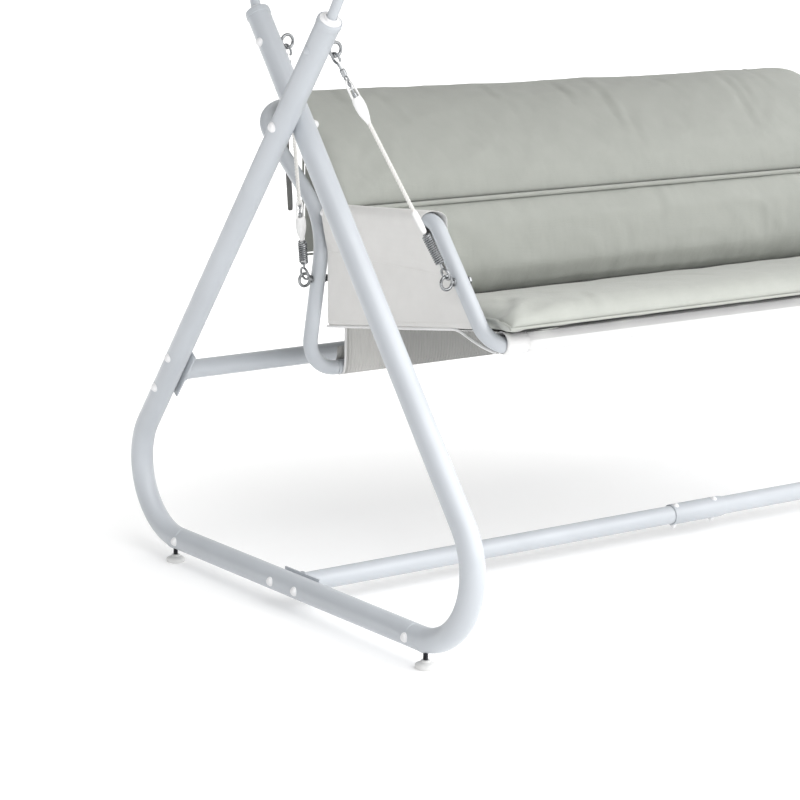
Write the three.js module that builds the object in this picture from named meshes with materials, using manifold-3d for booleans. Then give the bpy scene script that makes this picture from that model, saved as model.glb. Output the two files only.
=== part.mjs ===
// Three-seat garden swing seat: two crossed-leg end frames joined by spreaders, a seat that hangs
// from four sprung ropes, and a canopy on four poles. Millimetres, +Z up, -Y is the front.
// Origin: the middle of the footprint, on the floor.
import * as THREE from 'three';
import { mergeVertices } from 'three/addons/utils/BufferGeometryUtils.js';
import Module from 'manifold-3d';

const wasm = await Module();
wasm.setup();

// ---------------------------------------------------------------- driving dimensions
const LEG_D = 38;               // end frame tube
const SPREADER_D = 32;
const SEAT_D = 25;              // seat, arm and back tube
const CANOPY_D = 16;
const WALL = 1.5;               // wall of every steel tube
const GAP = 0.4;                // running gap between touching pieces
const BORE_SIDES = 6;

const END_X = 823;              // plane of an end frame
const BASE_Z = 43;              // axis height of the floor tubes
const BASE_JOINT_Y = 325;       // where a leg is plugged onto its base tube
const LEG_BEND_R = 116;
const LEG_ANGLE = THREE.MathUtils.degToRad(51.4);
const CROSS_Z = 771;            // height at which the two legs cross
const LEG_TOP_Z = 938;
const LEG_PASS = 19.3;          // sideways offset of each leg at the crossing
const FOOT_Y = 352;
const SPREADER_BOLT_Y = 34;
const REAR_SPREADER_Z = 330;

const HANG_Z = 893;             // height of the upper eye bolts
const EYE_R = 10.5;             // centre-line radius of an eye
const EYE_WIRE_R = 2.5;
const EYE_REACH = 14.5;         // tube surface to eye centre
const LOOP_R = 9;               // hook loops that hang in the eyes
const OPEN_LOOP_R = 10;         // lower rear loops, which shift on their eyes as the seat swings
const LOOP_WIRE_R = 2;
const LOOP_SEAT = 3.5;          // loop centre to eye wire where a loop bears on the eye

const SEAT_X = 631;             // plane of the seat's side tubes
const FRONT_TUBE = { y: -250, z: 441 };
const REAR_TUBE = { y: 240, z: 328 };
const ARM_FRONT = { y: -110, z: 623 };
const ARM_REAR = { y: 160, z: 605 };
const BACK_KNEE = { y: 187, z: 588 };
const BACK_TOP = { y: 402, z: 760 };
const FRONT_EYE = { y: -176.9, z: 536 };   // on the riser's centre line
const REAR_EYE = { y: 207, z: 490 };       // on the back tube's centre line
const FRONT_CORNER_R = 40;
const REAR_CORNER_R = 60;
const TOP_CORNER_R = 70;

const SLING_HALF = 571;         // half width of the fabric between the side tubes
const SLING_T = 4;
const CUSHION_HALF = 600;
const CANOPY_RIB_X = END_X;
const CANOPY_HALF_Y = 490;
const CANOPY_HALF_X = 866;
const CANOPY_EAVE_Z = 1425;
const CANOPY_CAMBER = 70;
const VALANCE = 85;

const RADIANS_HALF = Math.PI / 2;

// ---------------------------------------------------------------- materials
const material = (color, roughness, metalness) =>
  new THREE.MeshStandardMaterial({ color, roughness, metalness });
const PAINT = () => material(0xdde2e8, 0.4, 0.1);
const STEEL = () => material(0xb0b2b5, 0.3, 0.9);
const PLASTIC = () => material(0xf2f2f0, 0.5, 0);
const ROPE = () => material(0xf1efe8, 0.85, 0);
const SLING = () => material(0xe9e8e4, 0.9, 0);
const CUSHION = () => material(0xc2c6bd, 0.95, 0);

// ---------------------------------------------------------------- solids
const swing = new THREE.Group();

function toSolid(geometry) {
  const bare = geometry.clone();
  bare.deleteAttribute('normal');
  bare.deleteAttribute('uv');
  const merged = mergeVertices(bare, 1e-4);
  return new wasm.Manifold(new wasm.Mesh({
    numProp: 3,
    vertProperties: new Float32Array(merged.attributes.position.array),
    triVerts: new Uint32Array(merged.index.array),
  }));
}

function toGeometry(solid) {
  const mesh = solid.getMesh();
  const geometry = new THREE.BufferGeometry();
  geometry.setAttribute('position', new THREE.BufferAttribute(mesh.vertProperties, 3));
  geometry.setIndex(new THREE.BufferAttribute(mesh.triVerts, 1));
  geometry.computeVertexNormals();
  return geometry;
}

const join = (...geometries) => toGeometry(geometries.map(toSolid).reduce((a, b) => a.add(b)));

// A hole of the given diameter drilled right through along X at each [x, y, z].
function drill(geometry, diameter, ...places) {
  let solid = toSolid(geometry);
  for (const [x, y, z] of places) {
    const bit = new THREE.CylinderGeometry(diameter / 2, diameter / 2, 4 * LEG_D, 8);
    solid = solid.subtract(toSolid(bit.rotateZ(RADIANS_HALF).translate(x, y, z)));
  }
  return toGeometry(solid);
}

function add(name, geometry, finish) {
  const mesh = new THREE.Mesh(geometry, finish());
  mesh.name = name;
  swing.add(mesh);
}

// The same piece on the left (side -1) and on the right (side +1): build(side) shapes it.
function pair(name, build, finish) {
  for (const [word, side] of [['left', -1], ['right', 1]]) add(`${word}_${name}`, build(side), finish);
}

// ---------------------------------------------------------------- tubes
// A tube route: straight runs between corners, each inner corner rounded to its bend radius.
class TubeRoute extends THREE.Curve {
  constructor(corners, radii, arcSteps) {
    super();
    const points = corners.map((corner) => new THREE.Vector3(...corner));
    const heading = (i) => points[i + 1].clone().sub(points[i]).normalize();
    this.stations = [{ point: points[0], tangent: heading(0) }];
    for (let i = 1; i < points.length - 1; i++) {
      const [before, after] = [heading(i - 1), heading(i)];
      const turn = before.angleTo(after);
      const radius = Array.isArray(radii) ? radii[i - 1] : radii;
      const start = points[i].clone().addScaledVector(before, -radius * Math.tan(turn / 2));
      const side = after.clone().addScaledVector(before, -after.dot(before)).normalize();
      for (let k = 0; k <= arcSteps; k++) {
        const angle = turn * k / arcSteps;
        this.stations.push({
          point: start.clone().addScaledVector(before, radius * Math.sin(angle))
            .addScaledVector(side, radius * (1 - Math.cos(angle))),
          tangent: before.clone().multiplyScalar(Math.cos(angle)).addScaledVector(side, Math.sin(angle)),
        });
      }
    }
    this.stations.push({ point: points.at(-1), tangent: heading(points.length - 2) });
  }

  station(t) { return this.stations[Math.round(t * (this.stations.length - 1))]; }

  getPoint(t, target = new THREE.Vector3()) { return target.copy(this.station(t).point); }

  getPointAt(t, target) { return this.getPoint(t, target); }

  getTangentAt(t, target = new THREE.Vector3()) { return target.copy(this.station(t).tangent); }
}

const polygon = (radius, sides) => Array.from({ length: sides }, (_, k) => new THREE.Vector2(
  radius * Math.cos(2 * Math.PI * k / sides), radius * Math.sin(2 * Math.PI * k / sides)));

function tube(corners, radii, diameter, arcSteps = 5, sides = 12) {
  const route = new TubeRoute(corners, radii, arcSteps);
  const section = new THREE.Shape(polygon(diameter / 2, sides));
  section.holes.push(new THREE.Path(polygon(diameter / 2 - WALL, BORE_SIDES)));
  return new THREE.ExtrudeGeometry(section, {
    steps: route.stations.length - 1, extrudePath: route, bevelEnabled: false,
  });
}

// An outline in the Y-Z plane, pulled along X from -half to +half about centreX.
function slab(outline, half, centreX = 0) {
  const shape = new THREE.Shape(outline.map(([y, z]) => new THREE.Vector2(y, z)));
  const geometry = new THREE.ExtrudeGeometry(shape, { depth: 2 * half, bevelEnabled: false });
  const axes = new THREE.Matrix4().makeBasis(
    new THREE.Vector3(0, 1, 0), new THREE.Vector3(0, 0, 1), new THREE.Vector3(1, 0, 0));
  return geometry.applyMatrix4(axes).translate(centreX - half, 0, 0);
}

// A strip of even thickness that follows a line of [y, z] points, offset to the line's left.
function strip(line, thickness) {
  const points = line.map(([y, z]) => new THREE.Vector2(y, z));
  const offset = points.map((point, i) => {
    const before = points[Math.max(i - 1, 0)];
    const after = points[Math.min(i + 1, points.length - 1)];
    const run = after.clone().sub(before).normalize();
    return [point.x - run.y * thickness, point.y + run.x * thickness];
  });
  return [...line, ...offset.reverse()];
}

// A turned piece: profile of [radius, distance along X] pairs, closed on itself or on the axis.
const turned = (profile, sides = 8) => new THREE.LatheGeometry(
  profile.map(([radius, along]) => new THREE.Vector2(radius, along)), sides).rotateZ(-RADIANS_HALF);

// ---------------------------------------------------------------- stand
const legRun = (z) => (CROSS_Z - z) / Math.tan(LEG_ANGLE);           // Y of a leg axis, rear leg
const legShift = (z) => LEG_PASS * (z - BASE_Z) / (CROSS_Z - BASE_Z); // sideways lean of a leg axis
// The leg that starts at the front (end -1) ends at the rear and passes inside the other one.
const legX = (side, end, z) => side * (END_X + end * legShift(z));
const legY = (end, z) => end * legRun(z);

function leg(side, end) {
  const corners = [
    [side * END_X, end * (BASE_JOINT_Y + GAP), BASE_Z],
    [side * END_X, legY(end, BASE_Z), BASE_Z],
    [legX(side, end, LEG_TOP_Z), legY(end, LEG_TOP_Z), LEG_TOP_Z],
  ];
  const bolts = [CROSS_Z, HANG_Z].map((z) => [legX(side, end, z), legY(end, z), z]);
  return drill(tube(corners, LEG_BEND_R, LEG_D, 8), 9, ...bolts);
}

pair('base_tube', (side) => tube(
  [[side * END_X, -BASE_JOINT_Y, BASE_Z], [side * END_X, BASE_JOINT_Y, BASE_Z]], 0, LEG_D), PAINT);
pair('front_leg', (side) => leg(side, -1), PAINT);
pair('rear_leg', (side) => leg(side, 1), PAINT);

// The crossing bolt: domed head outside, shank through both legs, domed nut inside.
pair('crossing_bolt', (side) => {
  const reach = LEG_PASS + LEG_D / 2 + GAP;
  const profile = [[0, -reach - 7], [5, -reach - 6], [8, -reach - 2], [8, -reach], [4, -reach],
    [4, reach], [8, reach], [8, reach + 2], [5, reach + 6], [0, reach + 7]];
  return turned(profile).translate(side * END_X, 0, CROSS_Z);
}, STEEL);

// A spreader's end plate lies flat on the inner face of its end frame tube.
const PLATE_T = 3;
function endPlate(side, x, y, z, tilt) {
  return new THREE.BoxGeometry(PLATE_T, 2 * SPREADER_BOLT_Y + 30, 34)
    .rotateX(tilt).translate(side * (x - PLATE_T / 2), y, z);
}

const plateX = END_X - LEG_D / 2 - GAP;
const SOCKET_START = -20;        // the two floor spreader halves plug together near the middle
const SOCKET_END = 100;
const socketWall = 2;

add('left_floor_spreader', join(
  tube([[-plateX + 1, 0, BASE_Z], [SOCKET_END - 20, 0, BASE_Z]], 0, SPREADER_D, 0, 16),
  endPlate(-1, plateX, 0, BASE_Z, 0)), PAINT);

const innerR = SPREADER_D / 2 + GAP;
const socket = [
  [innerR, SOCKET_START], [innerR + socketWall, SOCKET_START], [innerR + socketWall, SOCKET_END],
  [SPREADER_D / 2, SOCKET_END + 6], [SPREADER_D / 2, plateX - 1], [SPREADER_D / 2 - WALL, plateX - 1],
  [SPREADER_D / 2 - WALL, SOCKET_END], [innerR, SOCKET_END - 12], [innerR, SOCKET_START],
];
add('right_floor_spreader', join(
  turned(socket, 16).translate(0, 0, BASE_Z), endPlate(1, plateX, 0, BASE_Z, 0)), PAINT);

const rearPlateX = END_X + legShift(REAR_SPREADER_Z) - LEG_D / 2 - 2;
const rearY = legRun(REAR_SPREADER_Z);
add('rear_spreader', drill(join(
  tube([[-rearPlateX + 1, rearY, REAR_SPREADER_Z], [rearPlateX - 1, rearY, REAR_SPREADER_Z]],
    0, SPREADER_D, 0, 12),
  endPlate(-1, rearPlateX, rearY, REAR_SPREADER_Z, -LEG_ANGLE),
  endPlate(1, rearPlateX, rearY, REAR_SPREADER_Z, -LEG_ANGLE)),
12, [-rearPlateX, rearY, REAR_SPREADER_Z], [rearPlateX, rearY, REAR_SPREADER_Z]), PAINT);

// Levelling feet: a round pad on a threaded stem that screws up towards the base tube.
const foot = [[0, 0], [14.5, 0], [16, 2], [16, 6], [12, 9], [4, 10],
  [4, BASE_Z - LEG_D / 2 - GAP], [0, BASE_Z - LEG_D / 2 - GAP]];
for (const [word, end] of [['front', -1], ['rear', 1]]) {
  pair(`${word}_foot`, (side) => new THREE.LatheGeometry(
    foot.map(([radius, z]) => new THREE.Vector2(radius, z)), 12)
    .rotateX(RADIANS_HALF).translate(side * END_X, end * FOOT_Y, 0), PLASTIC);
}

// ---------------------------------------------------------------- hanging hardware
// An eye bolt through a tube of the given diameter: nut, shank, collar and an eye on the reach side.
function eyeBolt(x, y, z, diameter, reach) {
  const face = diameter / 2 + GAP;
  const tip = diameter / 2 + EYE_REACH - EYE_R;
  const bolt = turned([[0, -face - 6], [7, -face - 6], [7, -face], [3, -face], [3, face], [6, face],
    [6, face + 2.5], [3, face + 2.5], [3, tip], [0, tip]]);
  const eye = new THREE.TorusGeometry(EYE_R, EYE_WIRE_R, 6, 12).rotateX(RADIANS_HALF)
    .translate(diameter / 2 + EYE_REACH, 0, 0);
  const whole = join(bolt, eye);
  return (reach < 0 ? whole.rotateZ(Math.PI) : whole).translate(x, y, z);
}

// One suspension: hook, rope with moulded ends, and a spring with its own hook.
const HOOK_LENGTH = 38;
const SPRING_LENGTH = 84;
const MOULDED_LENGTH = 66;
const ROPE_R = 3;
const MOULDED_R = 6.5;

function hanger(side, end, top, bottom, lowerR, lowerSeat) {
  const word = `${side < 0 ? 'left' : 'right'}_${end < 0 ? 'front' : 'rear'}`;
  const from = new THREE.Vector3(...top);
  const down = new THREE.Vector3(...bottom).sub(from);
  const length = down.length();
  down.normalize();
  const across = new THREE.Vector3(1, 0, 0).addScaledVector(down, -down.x).normalize();
  const frame = new THREE.Matrix4().makeBasis(down, across.clone().cross(down), across)
    .setPosition(from);
  // Local frame of a hanger: +X runs down the rope, +Z across it.
  const place = (geometry) => geometry.applyMatrix4(frame);
  const loop = (radius, along) => new THREE.TorusGeometry(radius, LOOP_WIRE_R, 6, 12)
    .translate(along, 0, 0);
  const neck = LOOP_SEAT + LOOP_R;
  const hookBody = turned([[0, neck - 1], [3, neck - 1], [5, neck + 6], [5, HOOK_LENGTH - 3],
    [3, HOOK_LENGTH - GAP], [0, HOOK_LENGTH - GAP]]);
  add(`${word}_hook`, place(join(loop(LOOP_R, LOOP_SEAT), hookBody)), STEEL);

  const ropeStart = HOOK_LENGTH;
  const ropeEnd = length - SPRING_LENGTH;
  const rope = [[0, ropeStart], [5, ropeStart], [MOULDED_R, ropeStart + 8],
    [MOULDED_R, ropeStart + MOULDED_LENGTH - 22], [ROPE_R, ropeStart + MOULDED_LENGTH],
    [ROPE_R, ropeEnd - MOULDED_LENGTH], [MOULDED_R, ropeEnd - MOULDED_LENGTH + 22],
    [MOULDED_R, ropeEnd - 8], [5, ropeEnd], [0, ropeEnd]];
  add(`${word}_rope`, place(turned(rope)), ROPE);

  const loopAt = length - lowerSeat;
  const springEnd = loopAt - lowerR + 1;
  const spring = turned([[0, ropeEnd + GAP], [3, ropeEnd + GAP], [5.5, ropeEnd + 8], [5.5, springEnd - 14],
    [2.5, springEnd - 6], [2.5, springEnd], [0, springEnd]]);
  add(`${word}_spring`, place(join(spring, loop(lowerR, loopAt))), STEEL);
}

const seatEyeX = SEAT_X + SEAT_D / 2 + EYE_REACH;
for (const side of [-1, 1]) {
  for (const end of [-1, 1]) {
    const word = `${side < 0 ? 'left' : 'right'}_${end < 0 ? 'front' : 'rear'}`;
    const carrier = -end;                 // the leg whose top stands at this end started at the other
    const x = legX(side, carrier, HANG_Z);
    const y = legY(carrier, HANG_Z);
    add(`${word}_top_eye`, eyeBolt(x, y, HANG_Z, LEG_D, -side), STEEL);
    const eye = end < 0 ? FRONT_EYE : REAR_EYE;
    add(`${word}_seat_eye`, eyeBolt(side * SEAT_X, eye.y, eye.z, SEAT_D, side), STEEL);
    const upper = [x - side * (LEG_D / 2 + EYE_REACH), y, HANG_Z - EYE_R];
    const lower = [side * seatEyeX, eye.y, eye.z + EYE_R];
    if (end < 0) hanger(side, end, upper, lower, LOOP_R, LOOP_SEAT);
    else hanger(side, end, upper, lower, OPEN_LOOP_R, 0);
  }
}

// ---------------------------------------------------------------- seat frame
const crossHalf = SEAT_X - FRONT_CORNER_R;
const rearHalf = SEAT_X - REAR_CORNER_R;
const topHalf = SEAT_X - TOP_CORNER_R;
add('front_seat_tube', tube(
  [[-crossHalf + GAP, FRONT_TUBE.y, FRONT_TUBE.z], [crossHalf - GAP, FRONT_TUBE.y, FRONT_TUBE.z]],
  0, SEAT_D), PAINT);
add('rear_seat_tube', tube(
  [[-rearHalf + GAP, REAR_TUBE.y, REAR_TUBE.z], [rearHalf - GAP, REAR_TUBE.y, REAR_TUBE.z]],
  0, SEAT_D), PAINT);
add('back_top_tube', tube(
  [[-topHalf + GAP, BACK_TOP.y, BACK_TOP.z], [topHalf - GAP, BACK_TOP.y, BACK_TOP.z]], 0, SEAT_D), PAINT);

pair('arm_tube', (side) => drill(tube([
  [side * crossHalf, FRONT_TUBE.y, FRONT_TUBE.z],
  [side * SEAT_X, FRONT_TUBE.y, FRONT_TUBE.z],
  [side * SEAT_X, ARM_FRONT.y, ARM_FRONT.z],
  [side * SEAT_X, ARM_REAR.y, ARM_REAR.z],
], [FRONT_CORNER_R, 34], SEAT_D), 7, [side * SEAT_X, FRONT_EYE.y, FRONT_EYE.z]), PAINT);

pair('back_tube', (side) => drill(tube([
  [side * rearHalf, REAR_TUBE.y, REAR_TUBE.z],
  [side * SEAT_X, REAR_TUBE.y, REAR_TUBE.z],
  [side * SEAT_X, BACK_KNEE.y, BACK_KNEE.z],
  [side * SEAT_X, BACK_TOP.y, BACK_TOP.z],
  [side * topHalf, BACK_TOP.y, BACK_TOP.z],
], [REAR_CORNER_R, 110, TOP_CORNER_R], SEAT_D), 7, [side * SEAT_X, REAR_EYE.y, REAR_EYE.z]), PAINT);

// ---------------------------------------------------------------- fabric and cushions
// Seat cloth: over the front tube, down towards the back cloth.
const clothFront = FRONT_TUBE.z + SEAT_D / 2 + GAP;
add('seat_sling', slab(strip([
  [FRONT_TUBE.y, clothFront], [-120, 441], [60, 418], [218, 404]], SLING_T), SLING_HALF), SLING);

// Back cloth: from the front of the rear tube up to the front of the top tube.
const tubeR = SEAT_D / 2 + GAP;
add('back_sling', slab(strip([
  [REAR_TUBE.y - tubeR, REAR_TUBE.z - 4], [227, 406], [192, 560], [188, 588], [204, 624],
  [BACK_TOP.y - tubeR * 0.8, BACK_TOP.z + tubeR * 0.65]].reverse(), -SLING_T), SLING_HALF), SLING);

// Side cloths fill the space between arm, front riser and back tube.
pair('side_panel', (side) => slab([
  [184, 414], [-182, 464], [-226, 450], [-204, 478], [-100, 600], [-91, 604], [150, 590]],
2, side * SEAT_X), SLING);

// Cushions: a seat pad with a rounded front, and a back pad in two panels that folds at the knee.
add('seat_cushion', slab([
  [-286, 470], [-262, 463], [-120, 449], [60, 426], [164, 416], [150, 446], [118, 462], [40, 486],
  [-60, 500], [-180, 514], [-270, 516], [-298, 504], [-304, 486]], CUSHION_HALF), CUSHION);
add('back_cushion', slab([
  [206, 426], [202, 470], [180, 566], [176, 592], [193, 632], [380, 776], [374, 787], [350, 785],
  [250, 718], [176, 642], [160, 612], [134, 556], [128, 500], [150, 456], [184, 428]],
CUSHION_HALF), CUSHION);

// ---------------------------------------------------------------- canopy
const roofZ = (y) => CANOPY_EAVE_Z + CANOPY_CAMBER * (1 - (y / CANOPY_HALF_Y) ** 2);
const ROOF_T = 3;
const RIB_DROP = CANOPY_D / 2 + GAP + 0.6;
const RIB_END_Y = CANOPY_HALF_Y - 22;
const RIB_STEPS = 6;
const ribPoints = Array.from({ length: RIB_STEPS + 1 }, (_, k) => {
  const y = -RIB_END_Y + 2 * RIB_END_Y * k / RIB_STEPS;
  return [y, roofZ(y) - RIB_DROP];
});
pair('canopy_rib', (side) => tube(
  ribPoints.map(([y, z]) => [side * CANOPY_RIB_X, y, z]), 300, CANOPY_D, 1, 10), PAINT);
for (const [word, end] of [['front', -1], ['rear', 1]]) {
  const y = end * (RIB_END_Y + CANOPY_D / 2 + GAP);
  const z = roofZ(y) - RIB_DROP - 1;
  add(`${word}_canopy_bar`, tube(
    [[-CANOPY_HALF_X + 6, y, z], [CANOPY_HALF_X - 6, y, z]], 0, CANOPY_D, 0, 10), PAINT);
}

// Each pole stands in the top of a leg and ends under its rib: the front one leans forward,
// the rear one is upright.
const POLE_IN = 34;
const POLE_OUT = 12;
for (const [word, end, poleTopY] of [['front', -1, -421], ['rear', 1, 134]]) {
  pair(`${word}_canopy_pole`, (side) => {
    const top = new THREE.Vector3(legX(side, -end, LEG_TOP_Z), legY(-end, LEG_TOP_Z), LEG_TOP_Z);
    const foot = new THREE.Vector3(legX(side, -end, BASE_Z), legY(-end, BASE_Z), BASE_Z);
    const axis = top.clone().sub(foot).normalize();
    const inside = top.clone().addScaledVector(axis, -POLE_IN);
    const bend = top.clone().addScaledVector(axis, POLE_OUT);
    const z = roofZ(poleTopY) - RIB_DROP - CANOPY_D / 2 - 7;
    return tube([inside.toArray(), bend.toArray(), [side * CANOPY_RIB_X, poleTopY, z]],
      40, CANOPY_D, 3, 10);
  }, PAINT);
}

// Roof cloth: a cambered sheet with a valance hanging from all four edges.
const ROOF_STEPS = 14;
const over = Array.from({ length: ROOF_STEPS + 1 }, (_, k) => {
  const y = -CANOPY_HALF_Y + 2 * CANOPY_HALF_Y * k / ROOF_STEPS;
  return [y, roofZ(y)];
});
const eave = CANOPY_EAVE_Z - VALANCE;
const outer = [[-CANOPY_HALF_Y - ROOF_T, eave], ...over.map(([y, z]) => [
  y * (1 + ROOF_T / CANOPY_HALF_Y), z + ROOF_T]), [CANOPY_HALF_Y + ROOF_T, eave]];
const inner = [[-CANOPY_HALF_Y, eave], ...over, [CANOPY_HALF_Y, eave]];
const side = (sign) => slab(outer.toReversed(), ROOF_T / 2, sign * (CANOPY_HALF_X + ROOF_T / 2));
add('canopy_roof', join(
  slab([...outer.toReversed(), ...inner], CANOPY_HALF_X + ROOF_T / 2), side(-1), side(1)), SLING);

export default swing;
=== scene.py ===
"""Garden swing seat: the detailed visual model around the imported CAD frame.

Lengths in this file are millimetres until piece() turns them into metres.
"""
from math import ceil, cos, degrees, exp, pi, radians, sin, sqrt, tan

import bmesh
import bpy
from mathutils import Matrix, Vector, noise


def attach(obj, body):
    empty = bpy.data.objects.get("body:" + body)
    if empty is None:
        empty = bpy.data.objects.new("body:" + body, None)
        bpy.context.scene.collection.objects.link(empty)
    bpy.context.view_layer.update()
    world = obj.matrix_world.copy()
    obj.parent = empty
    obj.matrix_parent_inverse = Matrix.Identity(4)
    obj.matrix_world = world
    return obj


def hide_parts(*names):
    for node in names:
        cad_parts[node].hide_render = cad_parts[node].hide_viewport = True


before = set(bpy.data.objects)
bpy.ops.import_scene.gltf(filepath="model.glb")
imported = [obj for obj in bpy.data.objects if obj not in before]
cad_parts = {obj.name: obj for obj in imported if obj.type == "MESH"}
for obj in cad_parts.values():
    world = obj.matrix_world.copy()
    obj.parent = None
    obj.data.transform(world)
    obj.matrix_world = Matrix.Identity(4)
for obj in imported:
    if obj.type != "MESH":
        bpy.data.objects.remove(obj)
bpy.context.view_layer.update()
SCENE = bpy.context.scene
MM = 0.001
SIDES = (("left", -1), ("right", 1))
ENDS = (("front", -1), ("rear", 1))
CORNERS = [(f"{word}_{end_word}", side, end) for word, side in SIDES for end_word, end in ENDS]

# ---------- sizes, as the CAD model has them
LEG_R, SPREADER_R, SEAT_R, POLE_R = 19.0, 16.0, 12.5, 8.0
END_X, BASE_Z, BASE_JOINT_Y = 823.0, 43.0, 325.0
LEG_BEND_R, LEG_ANGLE = 116.0, radians(51.4)
CROSS_Z, LEG_TOP_Z, LEG_PASS = 771.0, 938.0, 19.3
FOOT_Y, REAR_SPREADER_Z, SPREADER_BOLT_Y = 352.0, 330.0, 34.0
HANG_Z, EYE_R, EYE_WIRE_R, EYE_REACH = 893.0, 10.5, 2.5, 14.5
LOOP_R, OPEN_LOOP_R, LOOP_WIRE_R, LOOP_SEAT = 9.0, 10.0, 2.0, 3.5
SEAT_X = 631.0
FRONT_TUBE, REAR_TUBE = (-250.0, 443.5), (240.0, 328.0)
ARM_FRONT, ARM_REAR = (-110.0, 623.0), (182.0, 603.5)
BACK_KNEE, BACK_TOP = (187.0, 588.0), (402.0, 760.0)
FRONT_EYE, REAR_EYE = (-176.9, 536.0), (207.0, 490.0)
FRONT_CORNER_R, REAR_CORNER_R, TOP_CORNER_R = 40.0, 60.0, 70.0
SLING_HALF = 571.0
RIB_X, CANOPY_HALF_Y, CANOPY_HALF_X = END_X, 490.0, 866.0
EAVE_Z, CAMBER, VALANCE, ROOF_T = 1425.0, 70.0, 85.0, 3.0
FLAP_HALF, FLAP_BOTTOM = 512.0, 492.0


def leg_x(side, end, z):
    return side * (END_X + end * LEG_PASS * (z - BASE_Z) / (CROSS_Z - BASE_Z))


def leg_y(end, z):
    return end * (CROSS_Z - z) / tan(LEG_ANGLE)


def roof_z(y):
    return EAVE_Z + CAMBER * (1 - (y / CANOPY_HALF_Y) ** 2)


def new_node(tree, kind, values=(), **settings):
    """A shader node with its settings and the values of its unlinked inputs."""
    node = tree.nodes.new("ShaderNode" + kind)
    for key, value in settings.items():
        setattr(node, key, value)
    for key, value in dict(values).items():
        node.inputs[key].default_value = value
    return node


def link(tree, source, output, target, entry):
    tree.links.new(source.outputs[output], target.inputs[entry])


# ---------- camera and light
def make_camera():
    data = bpy.data.cameras.new("camera")
    data.sensor_width = 36
    data.lens = 112.84
    data.shift_x, data.shift_y = 0.1646, -0.0864
    data.clip_end = 200
    camera = bpy.data.objects.new("camera", data)
    camera.location = (-2.974, -3.1788, 1.1443)
    camera.rotation_euler = (radians(90 - 10.23), 0, radians(-33.534))
    SCENE.collection.objects.link(camera)
    SCENE.camera = camera


def soft_sun(name, coming_from, spread, power):
    data = bpy.data.lights.new(name, "SUN")
    data.angle, data.energy = radians(spread), power
    light = bpy.data.objects.new(name, data)
    light.rotation_euler = (-Vector(coming_from)).to_track_quat("-Z", "Y").to_euler()
    SCENE.collection.objects.link(light)


def make_stage():
    world = bpy.data.worlds.new("studio")
    world.use_nodes = True
    tree = world.node_tree
    sky = tree.nodes["Background"]
    sky.inputs["Color"].default_value = (1, 1, 1, 1)
    # A soft wrap of light, brighter overhead and towards the front right.
    place = new_node(tree, "TexCoord")
    lean = new_node(tree, "VectorMath", {1: (0.60, -0.50, 0.55)}, operation="DOT_PRODUCT")
    level = new_node(tree, "Math", {1: 0.60, 2: 0.64}, operation="MULTIPLY_ADD")
    link(tree, place, "Generated", lean, 0)
    link(tree, lean, "Value", level, 0)
    link(tree, level, "Value", sky, "Strength")
    SCENE.world = world
    SCENE.view_settings.view_transform = "Standard"
    soft_sun("key", (1.3, -2.5, 3.0), 80, 2.9)
    mesh = bpy.data.meshes.new("floor")
    mesh.from_pydata([(-60, -60, 0), (60, -60, 0), (60, 60, 0), (-60, 60, 0)], [], [(0, 1, 2, 3)])
    floor = bpy.data.objects.new("floor", mesh)
    white, _, shader = finish("floor_white", (0.86, 0.86, 0.86), 0.9)
    shader.inputs["Emission Color"].default_value = (1, 1, 1, 1)
    shader.inputs["Emission Strength"].default_value = 0.20
    mesh.materials.append(white)
    SCENE.collection.objects.link(floor)


# ---------- finishes
def finish(name, colour, roughness, metallic=0.0, sheen=0.0, coat=0.0):
    material = bpy.data.materials.new(name)
    material.use_nodes = True
    tree = material.node_tree
    shader = tree.nodes["Principled BSDF"]
    for key, value in (("Base Color", (*colour, 1)), ("Roughness", roughness), ("Metallic", metallic),
                       ("Sheen Weight", sheen), ("Coat Weight", coat)):
        shader.inputs[key].default_value = value
    return material, tree, shader


def noise_node(tree, scale, detail=3.0, stretch=(1.0, 1.0, 1.0)):
    """A noise texture in object space, scale per metre."""
    texture = new_node(tree, "TexNoise", {"Scale": scale, "Detail": detail})
    mapping = new_node(tree, "Mapping", {"Scale": stretch})
    link(tree, new_node(tree, "TexCoord"), "Object", mapping, "Vector")
    link(tree, mapping, "Vector", texture, "Vector")
    return texture


def ramp(tree, source, output, low, high, entry):
    """Feeds the shader a colour between low and high by a 0..1 value."""
    node = new_node(tree, "ValToRGB")
    for stop, position, colour in zip(node.color_ramp.elements, (0.3, 0.7), (low, high)):
        stop.position, stop.color = position, (*colour, 1)
    link(tree, source, output, node, "Fac")
    link(tree, node, "Color", tree.nodes["Principled BSDF"], entry)


def bump(tree, height, output, strength, distance, before=None):
    node = new_node(tree, "Bump", {"Strength": strength, "Distance": distance})
    link(tree, height, output, node, "Height")
    if before:
        link(tree, before, "Normal", node, "Normal")
    link(tree, node, "Normal", tree.nodes["Principled BSDF"], "Normal")
    return node


def shade(colour, factor):
    return tuple(min(1.0, c * factor) for c in colour)


def coated(name, colour, roughness, drift, grain, gloss=None, metallic=0.0, coat=0.0):
    """Drift: scale, detail, darkest, lightest. Grain: scale, strength, depth. Gloss: scale, low, high."""
    material, tree, _ = finish(name, colour, roughness, metallic, coat=coat)
    scale, detail, low, high = drift
    ramp(tree, noise_node(tree, scale, detail), "Fac", shade(colour, low), shade(colour, high), "Base Color")
    if gloss:
        ramp(tree, noise_node(tree, gloss[0], 3), "Fac", (gloss[1],) * 3, (gloss[2],) * 3, "Roughness")
    bump(tree, noise_node(tree, grain[0], 2), "Fac", *grain[1:])
    return material


def metal(name, colour, roughness):
    """Zinc plate: bright, with a little dulling."""
    return coated(name, colour, roughness, (60, 4, 0.72, 1.08), (700, 0.1, 0.0003),
                  (220, roughness * 0.7, roughness * 1.5), metallic=1.0)


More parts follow.
